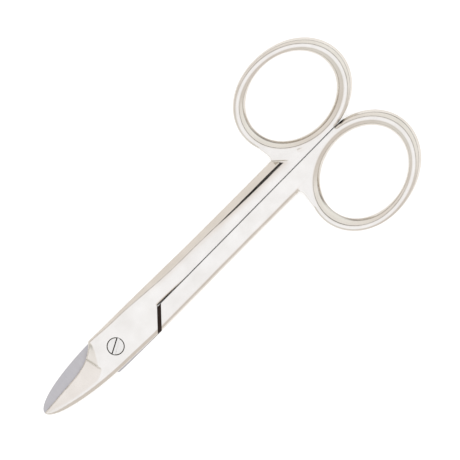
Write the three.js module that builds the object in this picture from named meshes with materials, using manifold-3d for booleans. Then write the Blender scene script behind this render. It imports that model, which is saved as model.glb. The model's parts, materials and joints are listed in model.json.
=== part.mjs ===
// Small stout scissors with ring handles, lying closed. Millimetres, +Z up.
// The origin is on the pivot axis, in the plane that the scissors lie on. +X runs from the
// pivot to the finger rings, and the front half, whose plate is on top, has its ring on the
// +Y side. The rear half is the same forging turned over about X, with its plate below.
import * as THREE from 'three';
import { LoftGeometry } from 'three/addons/geometries/LoftGeometry.js';
import { mergeVertices } from 'three/addons/utils/BufferGeometryUtils.js';
import Module from 'manifold-3d';

const wasm = await Module();
wasm.setup();
const { clamp, degToRad, lerp, smoothstep } = THREE.MathUtils;

// Stock and lap joint
const stackThickness = 4.2; // both plates together, and each shank beside the lap
const lapGap = 0.1; // between the inner faces of the two plates
const plateEdgeRound = 1.0; // radius of a plate's edge on its outer face
const heelReach = 3.7; // pivot axis to the heel corner, towards the points
const heelHalfWidth = 5.15; // pivot axis to the heel side of a plate
const backHalfWidth = 4.8; // pivot axis to the back of a blade, across the plate
const lapEndReach = 13.4; // pivot axis to the inner corner of a plate's end
const lapEndHalfWidth = 5.05; // centre line to the outer corner of a plate's end
const lapEndAngle = degToRad(46.6); // a plate's end, from the long axis
const lapEndGap = 0.95; // from a plate's end to the other half's shoulder
const pivotLean = 0.15; // both plates stand this far to +Y at the pivot
const leanFade = 25; // and less and less of it to here
const bladeLean = 0.0235; // sideways run of the closed blades towards +Y, per mm

// Blade
const bladeReach = 22.8; // pivot axis to the points
const bladePointThickness = 0.9;
const bladePointWidth = 0.12;
const edgeLand = 0.3; // thickness left at the cutting edge
const edgeRunout = new THREE.Vector2(-11.6, 1.16); // where the edge turns straight
const edgeBend = new THREE.Vector2(-6.43, 1.94); // steers the edge's curve up to the heel
const ridgeInset = 1.3; // back of the blade to the ridge of its outer face
const rampRidge = 0.5; // where the step under the ramp ends, as a share across the blade
const stepHeight = 0.25; // from the ramp down to the ground flank
const sectionSlant = 0.245; // the step's run along X for each mm across

// Shank
const shankHalfWidth = 4.9; // centre line to the outer side of a shank
const shankNarrowsFrom = 5;
const shankNarrowsTo = 37;
const shankTopRound = 1.9; // outer edge on the plate's own side
const shankUnderRound = 1.2; // outer edge on the other side
const topRoundFrom = 5;
const topRoundTo = 25;
const thinsFrom = 20; // the shank thins from here towards the ring
const thinsBeforeHole = 12.8; // and has its least height this far short of the hole's middle
const joinGap = 0.25; // slit between the two closed shanks
const joinOffset = -0.3; // the slit's distance from the centre line at the plate's end
const joinEdgeRound = 0.6; // inner edge of a shank beside the plate's end
const joinEdgeFade = 25; // the inner edge has turned crisp here
const crispEdge = 0.12;

// Finger ring
const ringReach = 69.8; // pivot axis to the middle of a finger hole
const fingerHoleLength = 23.1;
const fingerHoleWidth = 19.0;
const ringThickness = 3.2; // height of the ring's wire
const wireWidth = 3.05; // mean width of the wire, seen from above
const wireFarSwell = 0.3; // wider at the far end than near the shank by twice this
const wireEndSwell = 0.42; // wider at both ends than at the sides by twice this
const wireDiagonalSwell = 0.13;
const webPastMiddle = 2.1; // the web beside the slit ends this far past the hole's middle

// The two halves are finished by hand and differ a little.
const frontTrim = { side: 1, ringShift: 0.24, ringTilt: degToRad(-2) };
const rearTrim = { side: -1, ringShift: -0.24, ringTilt: degToRad(-8) };

// The web that fills the corner between a shank's side and its ring, from the hole's middle
const cornerWeb = [
	[-14.04, 4.85], [-14.04, 2.9], [-9.04, 2.9], [-9.04, 9.8],
	[-14.14, 9.8], [-13.94, 8.2], [-13.54, 6.4], [-13.44, 5.4],
];
const cornerWebBelowCrest = 0.08;

// Pivot screw
const headDiameter = 3.9;
const headThickness = 1.0;
const headClearance = 0.15; // round the head, in its counterbore
const headSeatGap = 0.05; // under the head
const headBelowFace = 0.03;
const shoulderDiameter = 3.0; // turns in the front half
const runningClearance = 0.05;
const threadDiameter = 2.4; // held in the rear half
const threadClearance = 0.03;
const tailChamfer = 0.2;
const slotWidth = 0.8;
const slotDepth = 0.55;
const slotAngle = degToRad(27.4);

// Values that follow from the ones above
const middle = stackThickness / 2;
const innerFace = middle + lapGap / 2; // the front half's ground face
const plateThickness = stackThickness - innerFace;
const ringOffset = fingerHoleWidth / 2 + wireWidth - wireEndSwell + joinGap / 2;
const overrun = 1; // how far a cutting solid runs past what it cuts
const outOfReach = ringReach + fingerHoleLength;
const thinsTo = ringReach - thinsBeforeHole;
const lapOuterReach = lapEndReach - lapEndHalfWidth / Math.tan(lapEndAngle);

function leanAt(x) {
	if (x < 0) return pivotLean - bladeLean * x;
	return pivotLean * clamp(1 - x / leanFade, 0, 1);
}

// The slit's middle line, in the frame of the half on the given side.
function joinAt(x, side) {
	return side * joinOffset * clamp((ringReach - x) / (ringReach - lapEndReach), 0, 1);
}

function solid(geometry) {
	const bare = new THREE.BufferGeometry();
	bare.setAttribute('position', geometry.attributes.position);
	bare.setIndex(geometry.index);
	const merged = mergeVertices(bare, 1e-5);
	const vertProperties = new Float32Array(merged.attributes.position.array);
	const triVerts = new Uint32Array(merged.index.array);
	return new wasm.Manifold(new wasm.Mesh({ numProp: 3, vertProperties, triVerts }));
}

function geometryOf(manifold) {
	const { vertProperties, triVerts } = manifold.getMesh();
	const geometry = new THREE.BufferGeometry();
	geometry.setAttribute('position', new THREE.BufferAttribute(vertProperties, 3));
	geometry.setIndex(new THREE.BufferAttribute(triVerts, 1));
	geometry.computeVertexNormals();
	return geometry;
}

function prism(points, low, high) {
	const geometry = new THREE.ExtrudeGeometry(new THREE.Shape(points), {
		depth: high - low,
		bevelEnabled: false,
		curveSegments: 36,
	});
	return solid(geometry.translate(0, 0, low));
}

function cylinder(radius, low, high) {
	const geometry = new THREE.CylinderGeometry(radius, radius, high - low, 48);
	geometry.rotateX(Math.PI / 2).translate(0, 0, (low + high) / 2);
	return solid(geometry);
}

// Places from one value up to the next, in equal steps and without the last.
function between(from, to, steps) {
	return Array.from({ length: steps }, (_, i) => lerp(from, to, i / steps));
}

// Points of one rounded corner of a section: y, z pairs from angle start for a quarter turn.
function cornerArc(y, z, radius, start, segments) {
	const points = [];
	for (let i = 0; i <= segments; i++) {
		const angle = start + (i / segments) * (Math.PI / 2);
		points.push([y + radius * Math.cos(angle), z + radius * Math.sin(angle)]);
	}
	return points;
}

// The shank, from the heel to where its web ends between the rings. It is solid through the
// whole stack here; the lap is cut out of it afterwards.
function shank(side) {
	const places = [
		...between(-heelReach, 0, 1),
		...between(0, lapEndReach, 3),
		...between(lapEndReach, shankNarrowsTo, 5),
		...between(shankNarrowsTo, thinsTo, 2),
		...between(thinsTo, ringReach + webPastMiddle, 2),
		ringReach + webPastMiddle,
	];
	const sections = places.map((x) => {
		const thin = clamp((x - thinsFrom) / (thinsTo - thinsFrom), 0, 1);
		const halfHeight = lerp(stackThickness, ringThickness, thin) / 2;
		const narrow = smoothstep(x, shankNarrowsFrom, shankNarrowsTo);
		const outer = lerp(heelHalfWidth, shankHalfWidth, narrow) + side * leanAt(x);
		const inner = joinAt(x, side) + joinGap / 2;
		const topRound = lerp(plateEdgeRound, shankTopRound, smoothstep(x, topRoundFrom, topRoundTo));
		const innerRound = lerp(joinEdgeRound, crispEdge, smoothstep(x, lapEndReach, joinEdgeFade));
		const top = middle + halfHeight;
		const under = middle - halfHeight;
		const turn = Math.PI / 2;
		return [
			...cornerArc(inner + crispEdge, under + crispEdge, crispEdge, 2 * turn, 1),
			...cornerArc(outer - shankUnderRound, under + shankUnderRound, shankUnderRound, 3 * turn, 4),
			...cornerArc(outer - topRound, top - topRound, topRound, 0, 6),
			...cornerArc(inner + innerRound, top - innerRound, innerRound, turn, 3),
		].map(([y, z]) => new THREE.Vector3(x, y, z));
	});
	return solid(new LoftGeometry(sections, { capStart: true, capEnd: true }));
}

// The back of the blade: a quarter of an ellipse from the plate to the point.
function backAt(x) {
	const share = clamp(-x / bladeReach, 0, 1);
	return -backHalfWidth * Math.sqrt(1 - share * share);
}

// One section of the blade, between a point on its edge and one on its back. The ridge is
// where the outer face leaves its full height, as a share of the way across.
function bladeSection(edge, back, edgeHeight, ridge, height, side) {
	const width = edge.y - back.y;
	const round = Math.min(plateEdgeRound, 0.35 * width, 0.45 * height);
	const points = [[back.y, 0], [edge.y, 0], [edge.y, edgeHeight], [lerp(edge.y, back.y, ridge), height]];
	points.push(...cornerArc(back.y + round, height - round, round, Math.PI / 2, 3));
	return points.map(([y, z]) => {
		const x = lerp(edge.x, back.x, (edge.y - y) / width);
		return new THREE.Vector3(x, y + side * leanAt(x), innerFace + z);
	});
}

// The blade and the rest of the plate, as far as the plate's end.
function bladeAndPlate(side) {
	const point = new THREE.Vector2(-bladeReach, bladePointWidth / 2);
	const heel = new THREE.Vector2(-heelReach, heelHalfWidth);
	const curve = new THREE.QuadraticBezierCurve(heel, edgeBend, edgeRunout).getPoints(8);
	const straight = [0.2, 0.4, 0.56, 0.7, 0.8, 0.88, 0.94, 0.98, 1].map((share) =>
		edgeRunout.clone().lerp(point, share));
	const edges = [...curve, ...straight];
	const stepIndex = 4;
	const sections = [];
	edges.forEach((edge, index) => {
		const backX = edge.x + sectionSlant * (edge.y - backAt(edge.x));
		const back = new THREE.Vector2(backX, Math.min(backAt(backX), edge.y - bladePointWidth));
		const towardPoint = clamp((edge.x - edges[stepIndex].x) / (point.x - edges[stepIndex].x), 0, 1);
		const height = lerp(plateThickness, bladePointThickness, towardPoint ** 1.5);
		if (index <= stepIndex) {
			const down = index / stepIndex;
			const rampHeight = lerp(plateThickness, edgeLand + stepHeight, down);
			sections.push(bladeSection(edge, back, rampHeight, lerp(0.04, rampRidge, down), height, side));
		}
		if (index >= stepIndex) {
			const atBack = clamp(1 - ridgeInset / (edge.y - back.y), 0.45, 1);
			const settled = smoothstep(index, stepIndex, stepIndex + 4);
			const ridge = lerp(rampRidge, atBack, settled);
			sections.push(bladeSection(edge, back, edgeLand, ridge, height, side));
		}
	});
	const insideShank = heelHalfWidth - 2 * plateEdgeRound;
	const plate = [[0, backHalfWidth], [lapOuterReach, lapEndHalfWidth], [lapEndReach, lapEndHalfWidth]];
	for (const [x, halfWidth] of plate) {
		const edge = new THREE.Vector2(x, insideShank);
		const back = new THREE.Vector2(x, -halfWidth);
		sections.unshift(bladeSection(edge, back, plateThickness, 0.1, plateThickness, side));
	}
	return solid(new LoftGeometry(sections.reverse(), { capStart: true, capEnd: true }));
}

// Distance from the middle of the finger hole to its edge, in the direction of angle.
function holeRadius(angle) {
	const [a, b] = [fingerHoleLength / 2, fingerHoleWidth / 2];
	return (a * b) / Math.hypot(b * Math.cos(angle), a * Math.sin(angle));
}

function wireWidthAt(angle) {
	const ends = wireFarSwell * Math.cos(angle) + wireEndSwell * Math.cos(2 * angle);
	return wireWidth + ends - wireDiagonalSwell * (Math.sin(angle) + Math.sin(2 * angle));
}

function ring(trim) {
	const steps = 60;
	const sides = 12;
	const sections = [];
	for (let i = 0; i <= steps; i++) {
		const angle = ((i % steps) / steps) * 2 * Math.PI;
		const half = wireWidthAt(angle) / 2;
		const crest = holeRadius(angle) + half;
		const section = [];
		for (let j = 0; j < sides; j++) {
			const around = (-j / sides) * 2 * Math.PI;
			const radius = crest + half * Math.cos(around);
			const height = (ringThickness / 2) * Math.sin(around);
			section.push(new THREE.Vector3(radius * Math.cos(angle), radius * Math.sin(angle), height));
		}
		sections.push(section);
	}
	const geometry = new LoftGeometry(sections);
	return placeOnRing(geometry, trim, middle);
}

function placeOnRing(geometry, trim, height) {
	geometry.rotateZ(trim.ringTilt).translate(ringReach + trim.ringShift, ringOffset, height);
	return solid(geometry);
}

// What is cut from the web: everything inside the crest of the ring's wire.
function insideCrest(trim) {
	const outline = new THREE.Shape();
	const steps = 60;
	for (let i = 0; i < steps; i++) {
		const angle = (i / steps) * 2 * Math.PI;
		const crest = holeRadius(angle) + wireWidthAt(angle) / 2;
		const move = i === 0 ? 'moveTo' : 'lineTo';
		outline[move](crest * Math.cos(angle), crest * Math.sin(angle));
	}
	const depth = stackThickness + 2 * overrun;
	const geometry = new THREE.ExtrudeGeometry(outline, { depth, bevelEnabled: false });
	return placeOnRing(geometry, trim, -overrun);
}

// Fills the corner between the shank's side and the ring's wire, outside the wire's crest.
function webInCorner(trim) {
	const centre = ringReach + trim.ringShift;
	const points = cornerWeb.map(([x, y]) => new THREE.Vector2(centre + x, y));
	const reach = ringThickness / 2 - cornerWebBelowCrest;
	return prism(points, middle - reach, middle + reach).subtract(insideCrest(trim));
}

// Everything beyond the slit and beyond the slanting end of the plate.
function beyondJoin(side) {
	const corner = new THREE.Vector2(lapEndReach, joinAt(lapEndReach, side) + joinGap / 2);
	const along = new THREE.Vector2(-Math.cos(lapEndAngle), -Math.sin(lapEndAngle));
	const points = [
		corner,
		corner.clone().addScaledVector(along, outOfReach / 2),
		new THREE.Vector2(outOfReach, -outOfReach),
		new THREE.Vector2(outOfReach, joinAt(outOfReach, side) + joinGap / 2),
		new THREE.Vector2(ringReach, joinAt(ringReach, side) + joinGap / 2),
	];
	return prism(points, -overrun, stackThickness + overrun);
}

// Room for the other half's plate: below the inner face, as far as the shoulder, which
// stands off the end of that plate.
function lapRoom(side) {
	const corner = new THREE.Vector2(lapEndReach, joinAt(lapEndReach, side) - joinGap / 2);
	corner.x += lapEndGap * Math.sin(lapEndAngle);
	corner.y += lapEndGap * Math.cos(lapEndAngle);
	const along = new THREE.Vector2(Math.cos(lapEndAngle), -Math.sin(lapEndAngle));
	const points = [
		corner.clone().addScaledVector(along, outOfReach / 2),
		corner.clone().addScaledVector(along, -outOfReach / 4),
		new THREE.Vector2(-outOfReach, outOfReach),
		new THREE.Vector2(-outOfReach, -outOfReach),
	];
	return prism(points, -overrun, innerFace);
}

// One forged half in the front half's place, with the given cuts for the pivot.
function forgedHalf(trim, pivotCuts) {
	const join = beyondJoin(trim.side);
	let half = shank(trim.side).subtract(insideCrest(trim));
	half = half.add(webInCorner(trim));
	half = half.add(ring(trim).subtract(join));
	half = half.add(bladeAndPlate(trim.side).subtract(join));
	half = half.subtract(lapRoom(trim.side));
	for (const cut of pivotCuts) half = half.subtract(cut);
	return geometryOf(half);
}

function frontHalf() {
	const seat = stackThickness - headBelowFace - headThickness - headSeatGap;
	return forgedHalf(frontTrim, [
		cylinder(headDiameter / 2 + headClearance, seat, stackThickness + overrun),
		cylinder(shoulderDiameter / 2 + runningClearance, 0, seat + overrun),
	]);
}

function rearHalf() {
	const hole = cylinder(threadDiameter / 2 + threadClearance, 0, stackThickness + overrun);
	const geometry = forgedHalf(rearTrim, [hole]);
	return geometry.rotateX(Math.PI).translate(0, 0, stackThickness);
}

// A slotted shoulder screw, turned on the pivot axis, with its tail flush with the rear
// half's outer face.
function pivotScrew() {
	const top = stackThickness - headBelowFace;
	const headUnder = top - headThickness;
	const shoulderEnd = innerFace - lapGap / 2;
	const profile = [
		[0, 0],
		[threadDiameter / 2 - tailChamfer, 0],
		[threadDiameter / 2, tailChamfer],
		[threadDiameter / 2, shoulderEnd],
		[shoulderDiameter / 2, shoulderEnd],
		[shoulderDiameter / 2, headUnder],
		[headDiameter / 2, headUnder],
		[headDiameter / 2, top - crispEdge],
		[headDiameter / 2 - crispEdge, top],
		[0, top],
	].map(([radius, height]) => new THREE.Vector2(radius, height));
	const turned = solid(new THREE.LatheGeometry(profile, 48).rotateX(Math.PI / 2));
	const slot = new THREE.BoxGeometry(headDiameter + 2 * overrun, slotWidth, 2 * slotDepth);
	slot.rotateZ(slotAngle).translate(0, 0, top);
	return geometryOf(turned.subtract(solid(slot)));
}

function finish(color, roughness) {
	return new THREE.MeshStandardMaterial({ color, roughness, metalness: 1 });
}

function piece(name, geometry, material) {
	const mesh = new THREE.Mesh(geometry, material);
	mesh.name = name;
	return mesh;
}

const scissors = new THREE.Group();
scissors.add(piece('front_half', frontHalf(), finish(0xe6e2dd, 0.16)));
scissors.add(piece('rear_half', rearHalf(), finish(0xe2deda, 0.18)));
scissors.add(piece('pivot_screw', pivotScrew(), finish(0xd8d4cf, 0.25)));

export default scissors;
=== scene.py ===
"""Small stout scissors with finger rings, nickel plated, lying closed on a pale floor."""

import json
import math
from types import SimpleNamespace

import bmesh
import bpy
from mathutils import Matrix, Vector

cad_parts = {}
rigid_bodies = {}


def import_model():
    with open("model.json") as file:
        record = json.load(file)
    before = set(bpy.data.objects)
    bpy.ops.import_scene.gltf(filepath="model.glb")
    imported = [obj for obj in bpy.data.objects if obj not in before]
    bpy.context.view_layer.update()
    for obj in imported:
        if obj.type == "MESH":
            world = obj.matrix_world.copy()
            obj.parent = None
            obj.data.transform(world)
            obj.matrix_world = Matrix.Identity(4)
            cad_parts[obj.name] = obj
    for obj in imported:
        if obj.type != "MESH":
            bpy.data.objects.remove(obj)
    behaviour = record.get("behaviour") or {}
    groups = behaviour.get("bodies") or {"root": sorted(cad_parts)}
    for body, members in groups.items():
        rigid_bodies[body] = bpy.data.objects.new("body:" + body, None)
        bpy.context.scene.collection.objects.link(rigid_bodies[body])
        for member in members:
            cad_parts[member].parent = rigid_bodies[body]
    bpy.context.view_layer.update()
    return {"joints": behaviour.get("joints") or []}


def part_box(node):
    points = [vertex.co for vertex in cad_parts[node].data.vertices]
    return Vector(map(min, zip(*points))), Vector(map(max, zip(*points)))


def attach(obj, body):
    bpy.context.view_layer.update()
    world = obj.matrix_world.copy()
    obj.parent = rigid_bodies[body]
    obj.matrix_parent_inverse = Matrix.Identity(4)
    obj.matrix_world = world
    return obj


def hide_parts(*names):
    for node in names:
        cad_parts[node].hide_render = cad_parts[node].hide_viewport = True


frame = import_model()

# Lengths are in millimetres while the pieces are being made, and METRE turns a finished one.
METRE = 0.001
front_low, front_high = (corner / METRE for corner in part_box("front_half"))
rear_low, rear_high = (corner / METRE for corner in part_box("rear_half"))
screw_low, screw_high = (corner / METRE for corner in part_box("pivot_screw"))
pivot_joint = frame["joints"][0]
FRONT_BODY, REAR_BODY = pivot_joint["child"], pivot_joint["parent"]

# Lap joint, as in the frame
STACK = front_high.z
MIDDLE = STACK / 2
LAP_GAP = 0.1
INNER_FACE = MIDDLE + LAP_GAP / 2
PLATE = STACK - INNER_FACE
HEEL_REACH = 3.7
HEEL_HALF_WIDTH = 5.15
BACK_HALF_WIDTH = 4.8
LAP_END_REACH = 13.4
LAP_END_HALF_WIDTH = 5.05
LAP_END_ANGLE = math.radians(46.6)
LAP_END_GAP = 0.95
PIVOT_LEAN = 0.15
LEAN_FADE = 25
BLADE_LEAN = 0.0235
# Where the plate's flat top runs out under the shank: at its end, at its back corner and at the pivot
PLATE_EDGE_AT_END = 0.9
PLATE_EDGE_AT_CORNER = 1.6
PLATE_EDGE_AT_PIVOT = 3.15
PLATE_RIDGE_SHARE = 0.1
PLATE_CORNER_REACH = 8.9

# Blade
BLADE_REACH = -front_low.x
POINT_WIDTH = 0.12
EDGE_LAND = 0.4
FLANK_ANGLE = math.radians(15.5)
EDGE_RUNOUT = Vector((-11.6, 1.16))
EDGE_BEND = Vector((-6.43, 1.94))
RIDGE_INSET = 1.3
STEP_WIDTH = 4.4
HEEL_DROP = 0.25
RAMP_WIDTH = 3.4
RAMP_START_SHARE = 0.11
STEP_INDEX = 8
FLANK_RUN_INDEX = 9
STEP_HEIGHT = 0.5
UNDER_SKIN = 0.5
SECTION_SLANT = 0.245

# Shank
SHANK_HALF_WIDTH = 4.9
SHANK_NARROWS_FROM = 5
SHANK_NARROWS_TO = 37
CUT_SKIN = 0.3
JOIN_GAP = 0.25
RIB_GAP = 0.04
RIB_HALF_HEIGHT = 0.5
JOIN_OFFSET = -0.3
JOIN_EDGE_ROUND = 0.6
JOIN_EDGE_FADE = 25
CRISP_EDGE = 0.03
SHANK_UNDER_ROUND = 1.2
CORNER_WIDTH = 0.15
# The filed facet starts fine at the heel, grows beside the pivot, and is at its full width here
FILED_FROM = 4
FILED_TO = 22
HEEL_FACET_WIDTH = 0.1
PIVOT_FACET_WIDTH = 0.45
PIVOT_CREASE_WIDTH = 0.5
PIVOT_CROWN_TILT = math.radians(3)
# The crown steepens, and then a steady band of it widens, towards the ring
CROWN_STEEPENS = (28, 40)
DARK_CROWN = (30, 52)
LEAST_BAND = 0.01
FACET_TILT = math.radians(34)
FACET_WIDTH = 1.4
# Stretches of the blade's back edge: tilt, tilt, width and steps
BACK_EDGE = [(math.pi / 2, FACET_TILT, 0.15, 4), (FACET_TILT, FACET_TILT, 0.55, 3), (FACET_TILT, 0, 0.3, 5)]
CREASE_WIDTH = 0.08
MID_CROWN_TILT = math.radians(15)
RING_CROWN_TILT = math.radians(21.8)
DARK_CROWN_WIDTH = 0.6
CROWN_WIDTH = 2.2

# Finger ring
RING_REACH = 69.8
HOLE_LENGTH = 23.1
HOLE_WIDTH = 19.0
RING_THICKNESS = 3.2
WIRE_WIDTH = 3.05
WIRE_FAR_SWELL = 0.3
WIRE_END_SWELL = 0.42
WIRE_DIAGONAL_SWELL = 0.13
RING_OFFSET = HOLE_WIDTH / 2 + WIRE_WIDTH - WIRE_END_SWELL + JOIN_GAP / 2
WEB_PAST_MIDDLE = 2.1
INSIDE_CAD = 0.01
WIRE_SIDE_WIDTH = 0.12
WIRE_SIDE_TILT = math.radians(50)
WIRE_SIDE_SHARE = 0.35
WIRE_BEND_SHARE = 0.4
WIRE_FACET_SHARE = 0.25
WIRE_HEIGHT_SHARE = 0.97
WIRE_FACET_TILT = math.radians(32)
WIRE_CREASE_WIDTH = 0.45
WIRE_CROWN_TILT = math.radians(13)
WIRE_CROWN_WIDTH = 0.25
CREST_OUT = 0.2
CREST_SWING = 0.45
# The web that fills the corner between the shank's side and the ring
WEB_OUTLINE = [(56.0, 4.85), (58.3, 2.7), (59.7, 1.2), (62.0, 1.2), (62.0, 9.8), (55.9, 9.8), (56.1, 8.2),
               (56.4, 6.4), (56.4, 5.5)]
WEB_BELOW_CREST = 0.08
THINS_FROM = 20
THINS_TO = RING_REACH - 12.8

# Pivot screw
HEAD_RADIUS = (screw_high.x - screw_low.x) / 2
HEAD_THICKNESS = 1.0
HEAD_CLEARANCE = 0.15
HEAD_SEAT_GAP = 0.05
SHOULDER_HOLE_RADIUS = 1.55
THREAD_HOLE_RADIUS = 1.23
HEAD_TOP = screw_high.z
SHOULDER_RADIUS = 1.5
THREAD_RADIUS = 1.2
SLOT_WIDTH = 0.8
SLOT_DEPTH = 0.55
# A strip this wide along one wall of the screw slot is near-black: painted shade in the slot
SLOT_SHADE_STRIP = 0.24
SLOT_ANGLE = math.radians(27.4)

QUARTER = math.pi / 2
FRONT_TRIM = SimpleNamespace(side=1, ring_shift=0.24, ring_tilt=math.radians(-2),
                             crest_turn=math.radians(45))
REAR_TRIM = SimpleNamespace(side=-1, ring_shift=-0.24, ring_tilt=math.radians(-8),
                            crest_turn=math.radians(10))

VOXEL = 0.155
SHARP_FORGING = math.radians(32)
SHARP_SCREW = math.radians(28)

# Sky, floor and camera. Lengths are in metres here, but those of the lens are in millimetres.
DARK_SIDE_HEADING = (0.87, 0.5, 0)
FLOOR_HALF_WIDTH = 1.5
FLOOR_WHITE = 0.6
FLOOR_GLOW = 0.6
LENS_LENGTH = 200
SENSOR_WIDTH = 36
VIEW_WIDTH = 0.10698
VIEW_MIDDLE = (0.03786, 0.00027)
VIEWED_HEIGHT = 0.003
VIEW_TURN = math.radians(-45.09)

# Finishes, by their place in a half's material slots; the last two are painted shade, a near-black and a
# darkened nickel
PLATED, GROUND, PAINTED_SHADE, PAINTED_SHADE_WALL = 0, 1, 2, 3


def clamp(value, low=0.0, high=1.0):
    return min(max(value, low), high)


def lerp(a, b, share):
    return a + (b - a) * share


def smoothstep(x, start, stop):
    share = clamp((x - start) / (stop - start))
    return share * share * (3 - 2 * share)


def evenly(start, stop, count):
    return [lerp(start, stop, i / (count - 1)) for i in range(count)]


def lean_at(x):
    if x < 0:
        return PIVOT_LEAN - BLADE_LEAN * x
    return PIVOT_LEAN * clamp(1 - x / LEAN_FADE)


def join_at(x, side):
    share = clamp((RING_REACH - x) / (RING_REACH - LAP_END_REACH))
    return side * JOIN_OFFSET * share


# ---- mesh helpers -------------------------------------------------------------------


def new_object(name, bm, finishes=4):
    """Puts a bmesh into the scene as an object, with empty slots for its finishes."""
    mesh = bpy.data.meshes.new(name)
    for _ in range(finishes):
        mesh.materials.append(None)
    bm.to_mesh(mesh)
    bm.free()
    piece = bpy.data.objects.new(name, mesh)
    bpy.context.scene.collection.objects.link(piece)
    return piece


def close_up(bm):
    """Merges doubles and turns every face outwards."""
    bmesh.ops.remove_doubles(bm, verts=bm.verts, dist=1e-5)
    bmesh.ops.recalc_face_normals(bm, faces=bm.faces)


def loft(name, sections, closed=False):
    """A skin over sections that hold the same number of points, capped, or closed on itself."""
    bm = bmesh.new()
    rims = []
    for section in sections:
        corners = [bm.verts.new(point) for point in section]
        rims.append([bm.edges.new((a, b)) for a, b in zip(corners, corners[1:] + corners[:1])])
    followers = rims[1:] + rims[:1] if closed else rims[1:]
    for rim, next_rim in zip(rims, followers):
        bmesh.ops.bridge_loops(bm, edges=rim + next_rim)
    if not closed:
        for rim in (rims[0], rims[-1]):
            bmesh.ops.contextual_create(bm, geom=rim)
    close_up(bm)
    return new_object(name, bm)


def prism(name, outline, low, high, wall_finish=0, cap_finish=0):
    """A flat outline raised from one height to another. What it cuts takes on its finishes."""
    bm = bmesh.new()
    base = bm.faces.new([bm.verts.new((x, y, low)) for x, y in outline])
    grown = bmesh.ops.extrude_face_region(bm, geom=[base])["geom"]
    raised = [item for item in grown if isinstance(item, bmesh.types.BMVert)]
    bmesh.ops.translate(bm, verts=raised, vec=(0, 0, high - low))
    close_up(bm)
    for face in bm.faces:
        face.material_index = cap_finish if abs(face.normal.z) > 0.5 else wall_finish
    return new_object(name, bm)


def turned(name, profile, steps=96, finish=0):
    """A profile of radius and height pairs, turned on the pivot axis."""
    bm = bmesh.new()
    corners = [bm.verts.new((radius, 0, height)) for radius, height in profile]
    edges = [bm.edges.new(pair) for pair in zip(corners, corners[1:])]
    bmesh.ops.spin(bm, geom=corners + edges, cent=(0, 0, 0), axis=(0, 0, 1),
                   angle=2 * math.pi, steps=steps, use_merge=True)
    close_up(bm)
    for face in bm.faces:
        face.material_index = finish
    return new_object(name, bm)


def settle(piece):
    """Applies a piece's modifiers to its mesh."""
    seen = piece.evaluated_get(bpy.context.evaluated_depsgraph_get())
    mesh = bpy.data.meshes.new_from_object(seen)
    old = piece.data
    piece.modifiers.clear()
    piece.data = mesh
    bpy.data.meshes.remove(old)


def combine(piece, tool, operation):
    """Joins a tool to a piece or cuts it out, and removes the tool."""
    step = piece.modifiers.new(operation.lower(), "BOOLEAN")
    step.operation = operation
    step.solver = "EXACT"
    step.object = tool
    settle(piece)
    bpy.data.objects.remove(tool)


def weld_on(piece, other):
    """Takes another closed shell into a piece's mesh, for the remesh to unite."""
    bm = bmesh.new()
    bm.from_mesh(piece.data)
    bm.from_mesh(other.data)
    bm.to_mesh(piece.data)
    bm.free()
    bpy.data.objects.remove(other)


# ---- the forged halves --------------------------------------------------------------


def arc(y, z, radius, start, stop, steps):
    """Points of an arc in a section, as y, z pairs."""
    return [(y + radius * math.cos(a), z + radius * math.sin(a)) for a in evenly(start, stop, steps + 1)]


def edge_curve(stretches):
    """An edge from its silhouette inwards to the flat: inward distance and rise, point by point.

    Each stretch is an arc between two tilts of the surface over a width, or a facet where the
    two tilts are the same."""
    points, inward, rise = [(0, 0)], 0, 0
    for start, stop, width, steps in stretches:
        tilts = evenly(start, stop, steps + 1)
        for a, b in zip(tilts, tilts[1:]):
            if start == stop:
                inward += width / steps
                rise += width / steps * math.tan(start)
            else:
                radius = width / (math.sin(start) - math.sin(stop))
                inward += radius * (math.sin(a) - math.sin(b))
                rise += radius * (math.cos(b) - math.cos(a))
            points.append((inward, rise))
    return points


def filed_edge(x):
    """The top edge of the shank: a small round, a filed facet, and a crown that grows to the ring."""
    filed = smoothstep(x, FILED_FROM, FILED_TO)
    facet = lerp(HEEL_FACET_WIDTH, PIVOT_FACET_WIDTH, smoothstep(x, -HEEL_REACH, FILED_FROM))
    facet += (FACET_WIDTH - PIVOT_FACET_WIDTH) * filed
    crown_tilt = lerp(PIVOT_CROWN_TILT, MID_CROWN_TILT, filed)
    crown_tilt += (RING_CROWN_TILT - MID_CROWN_TILT) * smoothstep(x, *CROWN_STEEPENS)
    return edge_curve([
        (QUARTER, FACET_TILT, CORNER_WIDTH, 4),
        (FACET_TILT, FACET_TILT, facet, 3),
        (FACET_TILT, crown_tilt, lerp(PIVOT_CREASE_WIDTH, CREASE_WIDTH, filed), 4),
        (crown_tilt, crown_tilt, LEAST_BAND + DARK_CROWN_WIDTH * smoothstep(x, *DARK_CROWN), 2),
        (crown_tilt, 0, CROWN_WIDTH, 8),
    ])


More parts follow.
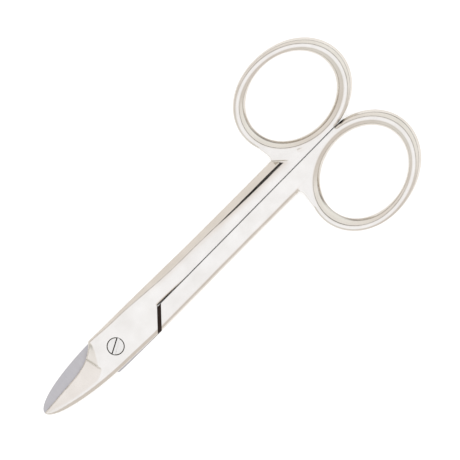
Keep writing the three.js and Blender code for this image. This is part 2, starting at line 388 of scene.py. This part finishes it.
def shank(side):
    """The shank, from the heel to where its web ends between the rings."""
    sections = []
    for x in evenly(-HEEL_REACH, RING_REACH + WEB_PAST_MIDDLE, 76):
        thin = clamp((x - THINS_FROM) / (THINS_TO - THINS_FROM))
        half_height = lerp(STACK, RING_THICKNESS, thin) / 2
        narrow = smoothstep(x, SHANK_NARROWS_FROM, SHANK_NARROWS_TO)
        outer = lerp(HEEL_HALF_WIDTH, SHANK_HALF_WIDTH, narrow) + side * lean_at(x)
        inner = join_at(x, side) + JOIN_GAP / 2
        skin = inner - CUT_SKIN
        top_edge = filed_edge(x)
        inner_round = lerp(JOIN_EDGE_ROUND, CRISP_EDGE, smoothstep(x, LAP_END_REACH, JOIN_EDGE_FADE))
        top, under = MIDDLE + half_height, MIDDLE - half_height
        section = [
            (skin, under),
            *arc(outer - SHANK_UNDER_ROUND, under + SHANK_UNDER_ROUND, SHANK_UNDER_ROUND,
                 3 * QUARTER, 4 * QUARTER, 8),
            *[(outer - inward, top - top_edge[-1][1] + rise) for inward, rise in top_edge],
            *arc(inner + inner_round, top - inner_round, inner_round, QUARTER, 2 * QUARTER, 5),
            (skin, top - inner_round),
        ]
        sections.append([(x, y, z) for y, z in section])
    return loft("shank", sections)


def back_at(x):
    """The back of the blade, a quarter of an ellipse from the plate to the point."""
    return -BACK_HALF_WIDTH * math.sqrt(1 - clamp(-x / BLADE_REACH) ** 2)


def blade_section(edge, back, edge_height, ridge, height, side):
    """One section of the blade, from its edge to its back, with a skin under it for the cut."""
    width = edge.y - back.y
    ridge_y = lerp(edge.y, back.y, ridge)
    profile = [(back.y, -UNDER_SKIN), (edge.y, -UNDER_SKIN), (edge.y, edge_height), (ridge_y, height)]
    back_edge = edge_curve(BACK_EDGE)
    shrink = min(1, 0.35 * width / back_edge[-1][0], 0.6 * height / back_edge[-1][1])
    for inward, rise in reversed(back_edge):
        profile.append((back.y + inward * shrink, height - (back_edge[-1][1] - rise) * shrink))
    section = []
    for y, z in profile:
        x = lerp(edge.x, back.x, (edge.y - y) / width)
        section.append((x, y + side * lean_at(x), INNER_FACE + z))
    return section


def edge_line():
    """The cutting edge, from the heel corner round its bend and straight to the point."""
    heel = Vector((-HEEL_REACH, HEEL_HALF_WIDTH))
    point = Vector((-BLADE_REACH, POINT_WIDTH / 2))
    bend = [heel.lerp(EDGE_BEND, t).lerp(EDGE_BEND.lerp(EDGE_RUNOUT, t), t) for t in evenly(0, 1, 17)]
    straight = [EDGE_RUNOUT.lerp(point, math.sin(t * QUARTER)) for t in evenly(0, 1, 21)[1:]]
    return bend + straight


def blade_and_plate(side):
    """The blade and the rest of the plate, as far as the plate's end."""
    sections = []
    lap_end_back = LAP_END_REACH - LAP_END_HALF_WIDTH / math.tan(LAP_END_ANGLE)
    for x, edge_y in ((LAP_END_REACH, PLATE_EDGE_AT_END), (lap_end_back, PLATE_EDGE_AT_CORNER),
                      (0, PLATE_EDGE_AT_PIVOT)):
        half_width = lerp(BACK_HALF_WIDTH, LAP_END_HALF_WIDTH, smoothstep(x, 0, PLATE_CORNER_REACH))
        edge = Vector((x, edge_y))
        sections.append(blade_section(edge, Vector((x, -half_width)), PLATE, PLATE_RIDGE_SHARE,
                                      PLATE, side))
    line = edge_line()
    step_edge = PLATE - STEP_WIDTH * math.tan(FLANK_ANGLE)
    for index, edge in enumerate(line):
        back_x = edge.x + SECTION_SLANT * (edge.y - back_at(edge.x))
        back = Vector((back_x, min(back_at(back_x), edge.y - POINT_WIDTH)))
        width = edge.y - back.y
        ground_back = clamp(1 - RIDGE_INSET / width, 0.5, 1)
        past_step = smoothstep(index, STEP_INDEX, STEP_INDEX + FLANK_RUN_INDEX)
        ridge = lerp(STEP_WIDTH / width, ground_back, past_step)
        ridge = min(ridge, ground_back)
        edge_height = lerp(step_edge, EDGE_LAND, smoothstep(index, STEP_INDEX, len(line) - 1))
        height = min(PLATE, edge_height + ridge * width * math.tan(FLANK_ANGLE))
        if index <= STEP_INDEX:
            down = index / STEP_INDEX
            ramp = lerp(PLATE - HEEL_DROP, step_edge + STEP_HEIGHT, down)
            ramp_ridge = lerp(RAMP_START_SHARE, RAMP_WIDTH / width, down)
            sections.append(blade_section(edge, back, ramp, ramp_ridge, PLATE, side))
        if index >= STEP_INDEX:
            sections.append(blade_section(edge, back, edge_height, ridge, height, side))
    return loft("blade", sections)


def hole_radius(angle):
    a, b = HOLE_LENGTH / 2, HOLE_WIDTH / 2
    return a * b / math.hypot(b * math.cos(angle), a * math.sin(angle))


def wire_width_at(angle):
    ends = WIRE_FAR_SWELL * math.cos(angle) + WIRE_END_SWELL * math.cos(2 * angle)
    return WIRE_WIDTH + ends - WIRE_DIAGONAL_SWELL * (math.sin(angle) + math.sin(2 * angle))


def on_ring(trim, height):
    place = Vector((RING_REACH + trim.ring_shift, RING_OFFSET, height))
    return Matrix.Translation(place) @ Matrix.Rotation(trim.ring_tilt, 4, "Z")


def crest_lean(trim, angle):
    """How far the ring's crest stands outside the middle of its wire, in half widths."""
    return CREST_OUT - CREST_SWING * math.cos(angle - trim.crest_turn)


def wire_section(trim, angle):
    """The wire's section: a facet each side of its crest, as wide as the crest's place leaves it."""
    half = wire_width_at(angle) / 2 - INSIDE_CAD
    crest_in = half * (1 + crest_lean(trim, angle))
    hole_edge = hole_radius(angle)
    top = []
    for wide, foot, way in ((2 * half - crest_in, hole_edge + 2 * half, -1), (crest_in, hole_edge, 1)):
        facet = max(LEAST_BAND, wide - WIRE_SIDE_WIDTH - WIRE_CREASE_WIDTH - WIRE_CROWN_WIDTH)
        curve = edge_curve([
            (QUARTER, WIRE_SIDE_TILT, WIRE_SIDE_WIDTH, 4),
            (WIRE_SIDE_TILT, WIRE_SIDE_TILT, facet * WIRE_SIDE_SHARE, 2),
            (WIRE_SIDE_TILT, WIRE_FACET_TILT, facet * WIRE_BEND_SHARE, 5),
            (WIRE_FACET_TILT, WIRE_FACET_TILT, facet * WIRE_FACET_SHARE, 2),
            (WIRE_FACET_TILT, WIRE_CROWN_TILT, WIRE_CREASE_WIDTH, 4),
            (WIRE_CROWN_TILT, 0, WIRE_CROWN_WIDTH, 4),
        ])
        spread = wide / curve[-1][0]
        rise_all = curve[-1][1]
        steep = min(1, WIRE_HEIGHT_SHARE * RING_THICKNESS / 2 / rise_all)
        points = [(foot + way * inward * spread, RING_THICKNESS / 2 - (rise_all - rise) * steep)
                  for inward, rise in curve]
        top += points if way < 0 else reversed(points[:-1])
    section = top + [(radius, -height) for radius, height in reversed(top)]
    return [(radius * math.cos(angle), radius * math.sin(angle), height) for radius, height in section]


def ring(trim):
    """The finger ring, a wire closed on itself."""
    sections = [wire_section(trim, angle) for angle in evenly(0, 2 * math.pi, 241)[:-1]]
    made = loft("ring", sections, closed=True)
    made.data.transform(on_ring(trim, MIDDLE))
    return made


def web(trim):
    """The web that carries the ring's crest across the shank's filed edge."""
    outline = [(x + trim.ring_shift - FRONT_TRIM.ring_shift, y) for x, y in WEB_OUTLINE]
    reach = RING_THICKNESS / 2 - WEB_BELOW_CREST
    made = prism("web", outline, MIDDLE - reach, MIDDLE + reach)
    combine(made, inside_crest(trim), "DIFFERENCE")
    return made


def inside_crest(trim):
    """What the ring's wire takes from the shank: everything inside its crest."""
    outline = []
    for angle in evenly(0, 2 * math.pi, 145)[:-1]:
        crest = hole_radius(angle) + wire_width_at(angle) / 2 * (1 + crest_lean(trim, angle))
        on_crest = Vector((crest * math.cos(angle), crest * math.sin(angle), 0))
        outline.append((on_ring(trim, 0) @ on_crest).xy)
    return prism("inside_crest", outline, -1, STACK + 1)


def beyond_join(side, low, high, gap):
    """What lies beyond the slit between the shanks and beyond the slanting end of the plate."""
    far = RING_REACH + HOLE_LENGTH
    corner = Vector((LAP_END_REACH, join_at(LAP_END_REACH, side) + JOIN_GAP / 2))
    along = Vector((-math.cos(LAP_END_ANGLE), -math.sin(LAP_END_ANGLE)))
    at_ring = join_at(RING_REACH, side) + gap / 2
    past_corner = (LAP_END_REACH + 1, join_at(LAP_END_REACH + 1, side) + gap / 2)
    outline = [corner, corner + along * far / 2, (far, -far), (far, at_ring), (RING_REACH, at_ring),
               past_corner]
    # The walls this cuts take the darkened nickel, and its caps, the ledges in the slit, take the
    # near-black: both are painted shade in the slit
    return prism("beyond_join", outline, low, high, wall_finish=PAINTED_SHADE_WALL, cap_finish=PAINTED_SHADE)


def lap_room(side):
    far = RING_REACH + HOLE_LENGTH
    corner = Vector((LAP_END_REACH, join_at(LAP_END_REACH, side) - JOIN_GAP / 2))
    corner += LAP_END_GAP * Vector((math.sin(LAP_END_ANGLE), math.cos(LAP_END_ANGLE)))
    along = Vector((math.cos(LAP_END_ANGLE), -math.sin(LAP_END_ANGLE)))
    outline = [corner + along * far / 2, corner - along * far / 4, (-far, far), (-far, -far)]
    # The walls at the lap's end take the near-black, painted shade in the gap there; the inner face takes
    # the ground steel
    return prism("lap_room", outline, -1, INNER_FACE, wall_finish=PAINTED_SHADE, cap_finish=GROUND)


def forged_half(name, trim, pivot_profile, turn=Matrix.Identity(4)):
    """One half: forged in one, smoothed, and then cut for the lap, the join and the pivot."""
    half = shank(trim.side)
    combine(half, inside_crest(trim), "DIFFERENCE")
    weld_on(half, web(trim))
    weld_on(half, ring(trim))
    weld_on(half, blade_and_plate(trim.side))
    skin = half.modifiers.new("skin", "REMESH")
    skin.mode = "VOXEL"
    skin.voxel_size = VOXEL
    settle(half)
    bm = bmesh.new()
    bm.from_mesh(half.data)
    for _ in range(2):
        bmesh.ops.smooth_vert(bm, verts=bm.verts, factor=0.5,
                              use_axis_x=True, use_axis_y=True, use_axis_z=True)
    bm.to_mesh(half.data)
    bm.free()
    combine(half, beyond_join(trim.side, -1, STACK + 1, RIB_GAP), "DIFFERENCE")
    combine(half, beyond_join(trim.side, MIDDLE + RIB_HALF_HEIGHT, STACK + 1, JOIN_GAP), "DIFFERENCE")
    combine(half, beyond_join(trim.side, -1, MIDDLE - RIB_HALF_HEIGHT, JOIN_GAP), "DIFFERENCE")
    combine(half, lap_room(trim.side), "DIFFERENCE")
    # The pivot holes and the seat round the screw head take the near-black, painted shade
    combine(half, turned("pivot_cut", pivot_profile, finish=PAINTED_SHADE), "DIFFERENCE")
    half.name = name
    half.data.transform(Matrix.Scale(METRE, 4) @ turn)
    half.data.shade_smooth()
    half.data.set_sharp_from_angle(angle=SHARP_FORGING)
    return half


def pivot_screw():
    """The slotted head, shoulder and tail, turned in one and slotted across the head."""
    head_under = HEAD_TOP - HEAD_THICKNESS
    shoulder_end = MIDDLE - LAP_GAP / 2
    profile = [(0, 0), (THREAD_RADIUS - 0.2, 0), (THREAD_RADIUS, 0.2), (THREAD_RADIUS, shoulder_end),
               (SHOULDER_RADIUS, shoulder_end), (SHOULDER_RADIUS, head_under), (HEAD_RADIUS, head_under)]
    profile += arc(HEAD_RADIUS - 0.15, HEAD_TOP - 0.15, 0.15, 0, QUARTER, 5)
    profile += [(HEAD_RADIUS * 0.5, HEAD_TOP), (0, HEAD_TOP)]
    screw = turned("turned_screw", profile)
    across_slot = Matrix.Rotation(SLOT_ANGLE, 2)
    reach = HEAD_RADIUS + 1
    # The second strip of the slot takes the near-black: painted shade on one wall and the floor beside it
    for low, high, finish in ((-SLOT_WIDTH / 2, SLOT_WIDTH / 2 - SLOT_SHADE_STRIP, PLATED),
                              (SLOT_WIDTH / 2 - SLOT_SHADE_STRIP - 0.01, SLOT_WIDTH / 2, PAINTED_SHADE)):
        corners = [(-reach, low), (reach, low), (reach, high), (-reach, high)]
        outline = [across_slot @ Vector(corner) for corner in corners]
        cutter = prism("slot", outline, HEAD_TOP - SLOT_DEPTH, HEAD_TOP + 1, finish, finish)
        combine(screw, cutter, "DIFFERENCE")
    bm = bmesh.new()
    bm.from_mesh(screw.data)
    lips = [e for e in bm.edges if len(e.link_faces) == 2 and e.calc_face_angle() > 1
            and all(v.co.z > HEAD_TOP - 0.01 for v in e.verts)]
    bmesh.ops.bevel(bm, geom=lips, offset=0.05, offset_type="OFFSET", segments=2, profile=0.5,
                    affect="EDGES", material=-1)
    bmesh.ops.scale(bm, vec=(METRE, METRE, METRE), verts=bm.verts)
    for face in bm.faces:
        face.smooth = True
    bm.to_mesh(screw.data)
    bm.free()
    screw.data.set_sharp_from_angle(angle=SHARP_SCREW)
    return screw


# ---- materials ----------------------------------------------------------------------


def add_node(tree, kind, **values):
    made = tree.nodes.new(kind)
    for key, value in values.items():
        setattr(made, key, value)
    return made


def polish_group():
    """Fine polishing marks along one direction, with clouds of stronger and weaker polish."""
    group = bpy.data.node_groups.new("polish_marks", "ShaderNodeTree")
    face = group.interface
    for name, kind, default in (("Stretch", "NodeSocketVector", (1, 1, 1)),
                                ("Clear", "NodeSocketFloat", 0.1),
                                ("Hazy", "NodeSocketFloat", 0.2)):
        face.new_socket(name, in_out="INPUT", socket_type=kind).default_value = default
    for name in ("Roughness", "Height", "Cloud"):
        face.new_socket(name, in_out="OUTPUT", socket_type="NodeSocketFloat")
    inside = add_node(group, "NodeGroupInput")
    out = add_node(group, "NodeGroupOutput")
    place = add_node(group, "ShaderNodeTexCoord")
    stretch = add_node(group, "ShaderNodeVectorMath", operation="MULTIPLY")
    group.links.new(place.outputs["Object"], stretch.inputs[0])
    group.links.new(inside.outputs["Stretch"], stretch.inputs[1])
    marks = add_node(group, "ShaderNodeTexNoise")
    marks.inputs["Scale"].default_value = 1
    marks.inputs["Detail"].default_value = 4
    marks.inputs["Roughness"].default_value = 0.6
    group.links.new(stretch.outputs[0], marks.inputs["Vector"])
    cloud = add_node(group, "ShaderNodeTexNoise")
    cloud.inputs["Scale"].default_value = 220
    cloud.inputs["Detail"].default_value = 3
    group.links.new(place.outputs["Object"], cloud.inputs["Vector"])
    both = add_node(group, "ShaderNodeMath", operation="MULTIPLY")
    group.links.new(marks.outputs["Fac"], both.inputs[0])
    group.links.new(cloud.outputs["Fac"], both.inputs[1])
    spread = add_node(group, "ShaderNodeMapRange")
    spread.inputs["From Min"].default_value = 0.12
    spread.inputs["From Max"].default_value = 0.42
    group.links.new(both.outputs[0], spread.inputs["Value"])
    group.links.new(inside.outputs["Clear"], spread.inputs["To Min"])
    group.links.new(inside.outputs["Hazy"], spread.inputs["To Max"])
    group.links.new(spread.outputs["Result"], out.inputs["Roughness"])
    group.links.new(marks.outputs["Fac"], out.inputs["Height"])
    group.links.new(cloud.outputs["Fac"], out.inputs["Cloud"])
    return group


def spot_group():
    """A ragged round mask for painted shade about a place: 1 in the middle, 0 past its reach."""
    group = bpy.data.node_groups.new("painted_shade_spot", "ShaderNodeTree")
    face = group.interface
    face.new_socket("Place", in_out="INPUT", socket_type="NodeSocketVector")
    face.new_socket("Reach", in_out="INPUT", socket_type="NodeSocketFloat")
    face.new_socket("Mask", in_out="OUTPUT", socket_type="NodeSocketFloat")
    inside = add_node(group, "NodeGroupInput")
    out = add_node(group, "NodeGroupOutput")
    here = add_node(group, "ShaderNodeTexCoord")
    away = add_node(group, "ShaderNodeVectorMath", operation="DISTANCE")
    group.links.new(here.outputs["Object"], away.inputs[0])
    group.links.new(inside.outputs["Place"], away.inputs[1])
    share = add_node(group, "ShaderNodeMath", operation="DIVIDE")
    group.links.new(away.outputs["Value"], share.inputs[0])
    group.links.new(inside.outputs["Reach"], share.inputs[1])
    ragged = add_node(group, "ShaderNodeTexNoise")
    ragged.inputs["Scale"].default_value = 900
    group.links.new(here.outputs["Object"], ragged.inputs["Vector"])
    shifted = add_node(group, "ShaderNodeMath", operation="MULTIPLY_ADD")
    shifted.inputs[1].default_value = 0.5
    group.links.new(ragged.outputs["Fac"], shifted.inputs[0])
    group.links.new(share.outputs[0], shifted.inputs[2])
    fade = add_node(group, "ShaderNodeMapRange", interpolation_type="SMOOTHSTEP")
    fade.inputs["From Min"].default_value = 1.25
    fade.inputs["From Max"].default_value = 0.75
    group.links.new(shifted.outputs[0], fade.inputs["Value"])
    group.links.new(fade.outputs["Result"], out.inputs["Mask"])
    return group


def metal(name, group, light, dark, stretch, clear, hazy, bump, spot=None, spots=()):
    """A metal whose tone follows the polish clouds, between its dark and its light.

    Spots are patches of painted shade, each with its place in millimetres and its reach."""
    made = bpy.data.materials.new(name)
    made.use_nodes = True
    tree = made.node_tree
    shader = tree.nodes["Principled BSDF"]
    shader.inputs["Metallic"].default_value = 1
    marks = add_node(tree, "ShaderNodeGroup", node_tree=group)
    marks.inputs["Stretch"].default_value = stretch
    marks.inputs["Clear"].default_value = clear
    marks.inputs["Hazy"].default_value = hazy
    tone = add_node(tree, "ShaderNodeMix", data_type="RGBA")
    tone.inputs["A"].default_value = (*dark, 1)
    tone.inputs["B"].default_value = (*light, 1)
    tree.links.new(marks.outputs["Cloud"], tone.inputs["Factor"])
    colour = tone.outputs["Result"]
    for place, reach in spots:
        patch = add_node(tree, "ShaderNodeGroup", node_tree=spot)
        patch.inputs["Place"].default_value = Vector(place) * METRE
        patch.inputs["Reach"].default_value = reach * METRE
        # Painted shade: each spot darkens the colour towards a near-black
        darker = add_node(tree, "ShaderNodeMix", data_type="RGBA")
        darker.inputs["B"].default_value = (0.05, 0.035, 0.028, 1)
        tree.links.new(patch.outputs["Mask"], darker.inputs["Factor"])
        tree.links.new(colour, darker.inputs["A"])
        colour = darker.outputs["Result"]
    tree.links.new(colour, shader.inputs["Base Color"])
    tree.links.new(marks.outputs["Roughness"], shader.inputs["Roughness"])
    relief = add_node(tree, "ShaderNodeBump")
    relief.inputs["Strength"].default_value = bump
    relief.inputs["Distance"].default_value = 0.00001
    tree.links.new(marks.outputs["Height"], relief.inputs["Height"])
    tree.links.new(relief.outputs["Normal"], shader.inputs["Normal"])
    return made


# ---- the scene ----------------------------------------------------------------------


def sky_ramp(tree, upward, rim, wall):
    """One side of the sky from straight overhead to the horizon, with its rim this bright."""
    rim_end = (rim, rim * 0.97, rim * 0.93)
    horizon = (rim * 0.5 + 0.3, rim * 0.5 + 0.26, rim * 0.5 + 0.24)
    # Each stop: degrees from straight overhead, then its colour.
    stops = [
        (0, (1.28, 1.32, 1.42)),
        (12, (1.27, 1.31, 1.41)),
        (24, (1.22, 1.23, 1.30)),
        (33, (1.16, 1.14, 1.17)),
        (40, (1.06, 1.04, 1.05)),
        (41.5, (rim, rim, rim)),
        (46, rim_end),
        (48, wall),
        (83, wall),
        (86, horizon),
        (90, horizon),
    ]
    ramp = add_node(tree, "ShaderNodeValToRGB")
    while len(ramp.color_ramp.elements) < len(stops):
        ramp.color_ramp.elements.new(0.5)
    for element, (degrees, colour) in zip(ramp.color_ramp.elements, reversed(stops)):
        element.position = math.cos(math.radians(degrees))
        element.color = (*colour, 1)
    tree.links.new(upward, ramp.inputs[0])
    return ramp.outputs["Color"]


def studio_world():
    """A big soft box overhead, with a dark rim on one side and a faint one on the others."""
    world = bpy.data.worlds.new("studio")
    world.use_nodes = True
    tree = world.node_tree
    heading = add_node(tree, "ShaderNodeTexCoord").outputs["Generated"]
    parts = add_node(tree, "ShaderNodeSeparateXYZ")
    tree.links.new(heading, parts.inputs[0])
    dark_side = sky_ramp(tree, parts.outputs["Z"], 0.03, (1.04, 1.00, 0.98))
    light_side = sky_ramp(tree, parts.outputs["Z"], 0.70, (0.88, 0.83, 0.80))
    towards_rim = add_node(tree, "ShaderNodeVectorMath", operation="DOT_PRODUCT")
    towards_rim.inputs[1].default_value = DARK_SIDE_HEADING
    tree.links.new(heading, towards_rim.inputs[0])
    sides = add_node(tree, "ShaderNodeMapRange")
    sides.inputs["From Min"].default_value = 0.33
    sides.inputs["From Max"].default_value = 0.08
    tree.links.new(towards_rim.outputs["Value"], sides.inputs["Value"])
    blend = add_node(tree, "ShaderNodeMix", data_type="RGBA")
    tree.links.new(sides.outputs["Result"], blend.inputs["Factor"])
    tree.links.new(dark_side, blend.inputs["A"])
    tree.links.new(light_side, blend.inputs["B"])
    along = add_node(tree, "ShaderNodeMath", operation="MULTIPLY")
    tree.links.new(parts.outputs["X"], along.inputs[0])
    tree.links.new(parts.outputs["X"], along.inputs[1])
    ends = add_node(tree, "ShaderNodeMix", data_type="RGBA", blend_type="MULTIPLY")
    ends.inputs["B"].default_value = (1.12, 1.19, 1.22, 1)
    tree.links.new(along.outputs[0], ends.inputs["Factor"])
    tree.links.new(blend.outputs["Result"], ends.inputs["A"])
    tree.links.new(ends.outputs["Result"], tree.nodes["Background"].inputs["Color"])
    bpy.context.scene.world = world


def stage():
    """A white floor that glows a little, so that it stays white and holds no shadow."""
    bm = bmesh.new()
    bmesh.ops.create_grid(bm, x_segments=1, y_segments=1, size=FLOOR_HALF_WIDTH)
    floor = new_object("floor", bm, finishes=1)
    paper = bpy.data.materials.new("white_paper")
    paper.use_nodes = True
    shader = paper.node_tree.nodes["Principled BSDF"]
    shader.inputs["Base Color"].default_value = (FLOOR_WHITE, FLOOR_WHITE, FLOOR_WHITE, 1)
    shader.inputs["Roughness"].default_value = 0.9
    shader.inputs["Specular IOR Level"].default_value = 0.1
    shader.inputs["Emission Color"].default_value = (1, 1, 1, 1)
    shader.inputs["Emission Strength"].default_value = FLOOR_GLOW
    floor.data.materials[0] = paper


def camera():
    """Straight down on the scissors, turned so that the rings are at the upper right."""
    lens = bpy.data.cameras.new("camera")
    lens.lens = LENS_LENGTH
    lens.sensor_width = SENSOR_WIDTH
    lens.clip_start = 0.01
    eye = bpy.data.objects.new("camera", lens)
    bpy.context.scene.collection.objects.link(eye)
    height = VIEW_WIDTH * lens.lens / lens.sensor_width
    eye.location = (*VIEW_MIDDLE, height + VIEWED_HEIGHT)
    eye.rotation_euler = (0, 0, VIEW_TURN)
    bpy.context.scene.camera = eye


camera()
polish = polish_group()
spot = spot_group()
# Patches of painted shade on the plated nickel: in the V where the rings meet, and in the corners where the
# shank joins its ring
painted_shade_spots = [((73.7, 0, 2.1), 1.7), ((56.9, 5.0, 2.9), 0.5), ((56.4, -5.0, 2.9), 0.5)]
# A patch of painted shade on the ground steel, in the gap between the halves by the plate's end
painted_shade_under_plate_end = [((12.5, -3, 2.1), 8)]
plate = metal("bright_nickel", polish, (0.765, 0.73, 0.675), (0.63, 0.59, 0.53),
              (300, 2600, 2600), 0.05, 0.13, 0.25, spot, painted_shade_spots)
ground = metal("ground_steel", polish, (0.54, 0.515, 0.51), (0.36, 0.345, 0.345),
               (5200, 260, 260), 0.30, 0.50, 0.9, spot, painted_shade_under_plate_end)
# A near-black, painted shade, for the lap's end walls, the pivot holes, the ledges in the slit and one
# strip of the screw slot
painted_shade_metal = metal("painted_shade_black", polish, (0.030, 0.022, 0.018), (0.012, 0.009, 0.007),
              (900, 900, 900), 0.45, 0.7, 0.5)
# A darkened nickel, painted shade, for the walls along the slit between the halves
painted_shade_wall_metal = metal("nickel_painted_shade", polish, (0.26, 0.215, 0.175), (0.15, 0.12, 0.10),
               (300, 2600, 2600), 0.30, 0.45, 0.4)
screw_metal = metal("screw_nickel", polish, (0.72, 0.69, 0.64), (0.60, 0.57, 0.52),
                    (1800, 1800, 1800), 0.10, 0.22, 0.4)

turn_over = Matrix.Translation((0, 0, STACK)) @ Matrix.Rotation(math.pi, 4, "X")
seat = HEAD_TOP - HEAD_THICKNESS - HEAD_SEAT_GAP
counterbore = HEAD_RADIUS + HEAD_CLEARANCE
screw_room = [(0, -1), (SHOULDER_HOLE_RADIUS, -1), (SHOULDER_HOLE_RADIUS, seat), (counterbore, seat),
              (counterbore, STACK + 1), (0, STACK + 1)]
thread_hole = [(0, -1), (THREAD_HOLE_RADIUS, -1), (THREAD_HOLE_RADIUS, STACK + 1), (0, STACK + 1)]
front = forged_half("front_forging", FRONT_TRIM, screw_room)
rear = forged_half("rear_forging", REAR_TRIM, thread_hole, turn_over)
for piece, body, node in ((front, FRONT_BODY, "front_half"), (rear, REAR_BODY, "rear_half")):
    for finish, finish_metal in ((PLATED, plate), (GROUND, ground), (PAINTED_SHADE, painted_shade_metal), (PAINTED_SHADE_WALL, painted_shade_wall_metal)):
        piece.data.materials[finish] = finish_metal
    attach(piece, body)
    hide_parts(node)
screw = pivot_screw()
for finish, finish_metal in ((PLATED, screw_metal), (GROUND, screw_metal), (PAINTED_SHADE, painted_shade_metal), (PAINTED_SHADE_WALL, painted_shade_metal)):
    screw.data.materials[finish] = finish_metal
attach(screw, REAR_BODY)
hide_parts("pivot_screw")
stage()
studio_world()
bpy.context.scene.view_settings.view_transform = "Standard"
